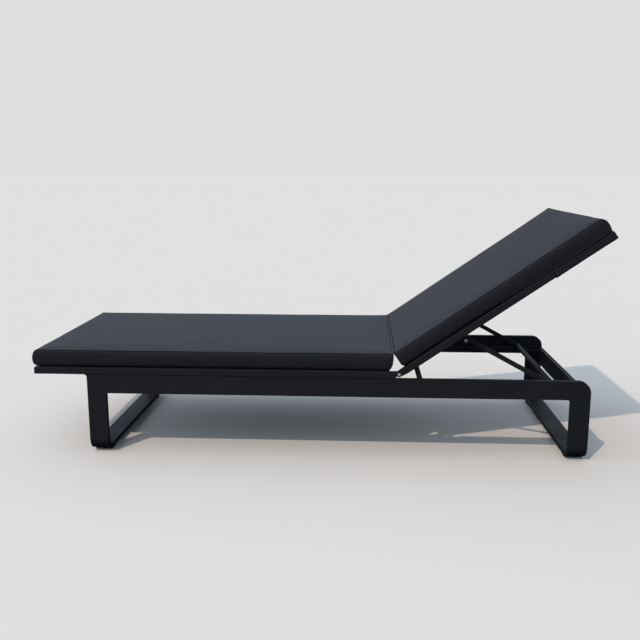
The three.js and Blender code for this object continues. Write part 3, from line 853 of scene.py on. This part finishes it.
def simulate(obj, caps):
    """Blows a cover up a little with cloth simulation, and keeps each point within its cap of the start."""
    mesh = obj.data
    start = [v.co.copy() for v in mesh.vertices]
    held = obj.vertex_groups.new(name="held")
    held.add([i for i, cap in enumerate(caps) if cap == 0], 1.0, "REPLACE")
    cloth = obj.modifiers.new("cover", "CLOTH")
    settings = cloth.settings
    settings.quality = 5
    settings.mass = 0.25
    settings.tension_stiffness = settings.compression_stiffness = 12
    settings.shear_stiffness = 5
    settings.bending_stiffness = 0.25
    settings.use_pressure = True
    settings.uniform_pressure_force = 4
    settings.shrink_min = -0.012
    settings.vertex_group_mass = held.name
    settings.effector_weights.gravity = 0
    cloth.collision_settings.use_collision = False
    cloth.collision_settings.use_self_collision = False
    cloth.point_cache.frame_start, cloth.point_cache.frame_end = 1, SETTLE_FRAMES
    for f in range(1, SETTLE_FRAMES + 1):
        bpy.context.scene.frame_set(f)
    shaped = obj.evaluated_get(bpy.context.evaluated_depsgraph_get())
    moved = [v.co.copy() for v in shaped.data.vertices]
    obj.modifiers.remove(cloth)
    obj.vertex_groups.remove(held)
    for v, a, b, cap in zip(mesh.vertices, start, moved, caps):
        shift = b - a
        if cap and shift.length > 0:
            v.co = a + shift * (cap * math.tanh(shift.length / cap) / shift.length)
    bpy.context.scene.frame_set(1)


def crease(obj, low, seed):
    """Faint lengthwise creases and hollows in the top and the sides of a cover."""
    for v in obj.data.vertices:
        x, y, z = v.co
        if z < low.z + 6 * MM:
            continue
        long_folds = noise.noise(Vector((x * 3.0, y * 16.0, seed + z * 10.0)))
        hollows = noise.noise(Vector((x * 7.0, y * 7.0, seed + 30.0 + z * 12.0)))
        v.co += v.normal * (0.5 * long_folds + 0.8 * hollows) * MM


def sewn_cushion(name, node, matrix, reach, ends, seed, lip=0.0, snug=NOWHERE):
    """A whole cushion cover in place of a CAD node.

    reach is how far the first end, the last end and the top stand past the node's box.
    """
    low, high = local_box(node, matrix)
    shape_low, shape_high = low - Vector((reach[0], 0, 0)), high + Vector((reach[1], 0, reach[2]))
    obj = new_object(name, cushion(shape_low, shape_high, ends, lip, snug), FABRIC)
    top = shape_high.z - CROWN - 1e-5

    def cap(z):
        if z < low.z + LIFT[0]:
            return 0
        return 1.5 * MM if z > top else 2 * MM

    simulate(obj, [cap(v.co.z) for v in obj.data.vertices])
    crease(obj, low, seed)
    divide = obj.modifiers.new("smooth_cover", "SUBSURF")
    divide.levels = divide.render_levels = 1
    divide.uv_smooth = "NONE"
    apply_modifiers(obj)
    obj.data.shade_smooth()
    obj.data.transform(matrix)
    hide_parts(node)
    return obj


seat_cover = sewn_cushion(
    "seat_cushion_cover", "seat_cushion", Matrix.Identity(4), (10 * MM, 2 * MM, 2 * MM),
    [(0.45, 15 * MM, 7 * MM), (0.75, 3 * MM, 9 * MM)], 3.0,
)
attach(seat_cover, "frame")

back_cover = sewn_cushion(
    "back_cushion_cover", "back_cushion", BACK, (7.5 * MM, 6 * MM, 4 * MM),
    [(0.5, 0, 0), (0.45, 15 * MM, 5 * MM)], 11.0, lip=3 * MM, snug=(0.25, 0.56),
)
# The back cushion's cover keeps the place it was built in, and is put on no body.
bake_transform(back_cover)

# ---- Head pocket ----------------------------------------------------------------------------

CLOTH = 1.6 * MM  # a folded layer of the fabric
HEM = 12 * MM


def head_pocket():
    """The cushion's fabric sleeve, pulled over the head end of the back: a sole, two sides and an end."""
    low, high = local_box("head_pocket", BACK)
    length, width, height = high - low
    xs = [length * i / 40 for i in range(41)]
    ys = graded(width, (0, 2, 6), 12)
    zs = [height * i / 5 for i in range(6)]
    bm = box_skin(xs, ys, zs)
    open_faces = [
        f for f in bm.faces
        if all(v.co.z > height - 1e-6 for v in f.verts) or all(v.co.x < 1e-6 for v in f.verts)
    ]
    bmesh.ops.delete(bm, geom=open_faces, context="FACES")
    seam = bm.loops.layers.uv["seam"]
    # The seam layer runs from 0 at the open edge, so the fabric paints shade along that edge, and it puts
    # rows of stitches along the hem.
    for f in bm.faces:
        for loop in f.loops:
            x, y, z = loop.vert.co
            loop[seam].uv = (min(x / 2, abs(x - HEM) + STITCH_ROW), y + z)
    for v in bm.verts:
        x, y, z = v.co
        hem = 0.5 * MM if x < HEM + 2 * MM else 0
        ripple = noise.noise(Vector((x * 22, y * 9, 5.0 + z * 20))) * 0.5 * MM
        outwards = hem + ripple - 0.6 * MM
        side = abs(y - width / 2) > width / 2 - 1e-6
        y += (1 if y > width / 2 else -1) * outwards if side else 0
        z -= outwards if z < 1e-6 else 0
        v.co = low + Vector((x, y, z))
    obj = new_object("head_pocket_sleeve", bm, FABRIC)
    bevel = obj.modifiers.new("folded_edges", "BEVEL")
    bevel.width, bevel.segments, bevel.angle_limit = 2.2 * MM, 3, math.radians(50)
    shell = obj.modifiers.new("cloth_thickness", "SOLIDIFY")
    shell.thickness, shell.offset = CLOTH, -1
    apply_modifiers(obj)
    obj.data.shade_smooth()
    obj.data.set_sharp_from_angle(angle=math.radians(60))
    finish_piece(obj, "back", ["head_pocket"], BACK)


head_pocket()

# ---- Stage, light and camera ----------------------------------------------------------------


def pale_floor():
    bm = bmesh.new()
    bmesh.ops.create_grid(bm, x_segments=2, y_segments=2, size=150)
    s = Shader("pale_floor", Specular_IOR_Level=0.0, Roughness=1.0)
    place = s.add("ShaderNodeTexCoord").outputs["Object"]
    tone = s.noise(place, 1.5, 2.0)
    s.colour(s.mix(tone, (0.841, 0.798, 0.770, 1), (0.848, 0.804, 0.777, 1)))
    floor = new_object("floor", bm, s.material)
    floor.visible_diffuse = False
    floor.visible_glossy = False


def sky():
    """Soft blue-white light, more from the foot end, hardly any from below, and a plain pale backdrop."""
    world = bpy.data.worlds.new("studio")
    bpy.context.scene.world = world
    world.use_nodes = True
    tree = world.node_tree
    tree.nodes.clear()
    place = tree.nodes.new("ShaderNodeTexCoord")
    split = tree.nodes.new("ShaderNodeSeparateXYZ")
    ramp = tree.nodes.new("ShaderNodeValToRGB")
    height = tree.nodes.new("ShaderNodeMapRange")
    height.inputs["From Min"].default_value = -1.0
    light = tree.nodes.new("ShaderNodeBackground")
    glow = tree.nodes.new("ShaderNodeMath")
    glow.operation = "MULTIPLY_ADD"
    glow.inputs[1].default_value, glow.inputs[2].default_value = -FOOT_GLOW, 1.0
    plain = tree.nodes.new("ShaderNodeBackground")
    path = tree.nodes.new("ShaderNodeLightPath")
    mix = tree.nodes.new("ShaderNodeMixShader")
    out = tree.nodes.new("ShaderNodeOutputWorld")
    tree.links.new(place.outputs["Generated"], split.inputs[0])
    tree.links.new(split.outputs["Z"], height.inputs["Value"])
    tree.links.new(split.outputs["X"], glow.inputs[0])
    tree.links.new(glow.outputs[0], light.inputs["Strength"])
    tree.links.new(height.outputs[0], ramp.inputs["Fac"])
    stops = ((0.44, SKY_BELOW), (0.52, SKY_HORIZON), (1.0, SKY_TOP))
    while len(ramp.color_ramp.elements) < len(stops):
        ramp.color_ramp.elements.new(0.5)
    for element, (position, colour) in zip(ramp.color_ramp.elements, stops):
        element.position, element.color = position, (*colour, 1)
    tree.links.new(ramp.outputs["Color"], light.inputs["Color"])
    plain.inputs["Color"].default_value = (*BACKDROP, 1)
    tree.links.new(path.outputs["Is Camera Ray"], mix.inputs[0])
    tree.links.new(light.outputs[0], mix.inputs[1])
    tree.links.new(plain.outputs[0], mix.inputs[2])
    tree.links.new(mix.outputs[0], out.inputs["Surface"])


def sun():
    light = bpy.data.lights.new("key", "SUN")
    light.energy = SUN_STRENGTH
    light.color = SUN_COLOUR
    light.angle = math.radians(1.2)
    obj = bpy.data.objects.new("key", light)
    obj.rotation_euler = Vector(SUN_TRAVEL).to_track_quat("-Z", "Y").to_euler()
    bpy.context.scene.collection.objects.link(obj)


BACKDROP = (0.738, 0.738, 0.738)
FOOT_GLOW = 0.8
SKY_BELOW = (0.02, 0.021, 0.024)
SKY_HORIZON = (0.545, 0.64, 0.74)
SKY_TOP = (0.585, 0.68, 0.775)
SUN_TRAVEL = (0.48, 0.76, -1.0)
SUN_STRENGTH = 1.35
SUN_COLOUR = (1.0, 0.85, 0.68)

pale_floor()
sky()
sun()

CAMERA_PLACE = (0.1430, -2.7523, 0.93305)
CAMERA_DOWN = 0.19297  # radians below level
CAMERA_LEFT = 0.05299  # radians towards the foot end
CAMERA_LENS = 43.089

camera = bpy.data.objects.new("camera", bpy.data.cameras.new("camera"))
camera.data.lens = CAMERA_LENS
camera.data.sensor_width = 36
camera.location = CAMERA_PLACE
camera.rotation_euler = (math.pi / 2 - CAMERA_DOWN, 0, CAMERA_LEFT)
bpy.context.scene.collection.objects.link(camera)
bpy.context.scene.camera = camera
bpy.context.scene.view_settings.view_transform = "Standard"
